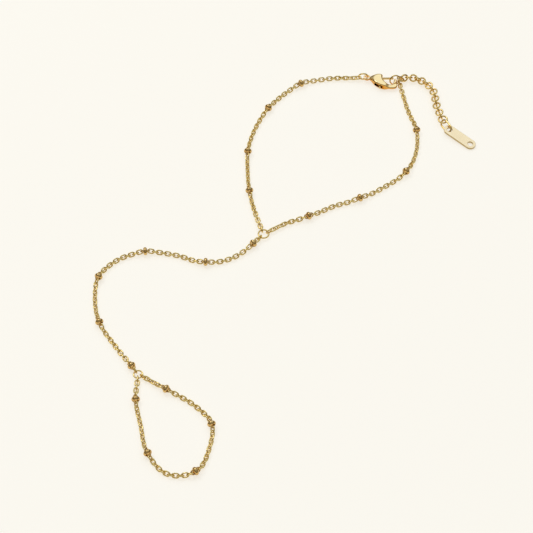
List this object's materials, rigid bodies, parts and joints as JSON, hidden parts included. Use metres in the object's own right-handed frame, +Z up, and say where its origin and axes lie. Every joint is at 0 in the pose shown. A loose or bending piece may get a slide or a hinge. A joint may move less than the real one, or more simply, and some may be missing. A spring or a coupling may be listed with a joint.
{
  "type": "hand chain bracelet",
  "caption": "Gold-coloured hand chain: a beaded chain wrist loop with a lobster clasp and a tagged extender, joined over the hand to a beaded finger loop.",
  "frame": {"origin": "on the table under the middle of the whole piece as it lies", "axes": "+Z up from the table, +Y towards the clasp, +X towards the extender's side"},
  "size_m": [0.0998, 0.1271, 0.0031],
  "materials": {
    "polished_gold_plate": "polished",
    "clasp_gold_plate": "polished"
  },
  "bodies": {
    "root": {"wrist_chain_left": "polished_gold_plate", "wrist_chain_right": "polished_gold_plate", "hand_chain": "polished_gold_plate", "finger_chain": "polished_gold_plate", "bead_01": "polished_gold_plate", "bead_02": "polished_gold_plate", "bead_03": "polished_gold_plate", "bead_04": "polished_gold_plate", "bead_05": "polished_gold_plate", "bead_06": "polished_gold_plate", "bead_07": "polished_gold_plate", "bead_08": "polished_gold_plate", "bead_09": "polished_gold_plate", "bead_10": "polished_gold_plate", "bead_11": "polished_gold_plate", "bead_12": "polished_gold_plate", "bead_13": "polished_gold_plate", "bead_14": "polished_gold_plate", "bead_15": "polished_gold_plate", "bead_16": "polished_gold_plate", "bead_17": "polished_gold_plate", "bead_18": "polished_gold_plate", "bead_19": "polished_gold_plate", "extender_link_01": "polished_gold_plate", "extender_link_02": "polished_gold_plate", "extender_link_03": "polished_gold_plate", "extender_link_04": "polished_gold_plate", "extender_link_05": "polished_gold_plate", "extender_link_06": "polished_gold_plate", "extender_link_07": "polished_gold_plate", "extender_link_08": "polished_gold_plate", "extender_link_09": "polished_gold_plate", "extender_link_10": "polished_gold_plate", "extender_link_11": "polished_gold_plate", "extender_link_12": "polished_gold_plate", "extender_link_13": "polished_gold_plate", "extender_link_14": "polished_gold_plate", "extender_link_15": "polished_gold_plate", "extender_link_16": "polished_gold_plate", "extender_link_17": "polished_gold_plate", "wrist_ring": "polished_gold_plate", "finger_ring": "polished_gold_plate", "clasp_ring": "polished_gold_plate", "extender_ring": "polished_gold_plate", "end_ring": "polished_gold_plate", "tag_ring": "polished_gold_plate", "tag": "polished_gold_plate", "clasp_body": "clasp_gold_plate"},
    "clasp_lever": {"clasp_lever": "clasp_gold_plate"}
  },
  "joints": [
    {"name": "lever_hinge", "type": "hinge", "parent": "root", "child": "clasp_lever", "pos_m": [0.02467, 0.06213, 0.00095], "axis": [0, 0, 1], "range_deg": [-16, 0], "stiffness_Nm_per_rad": 0.004, "springref_deg": 5.73}
  ]
}
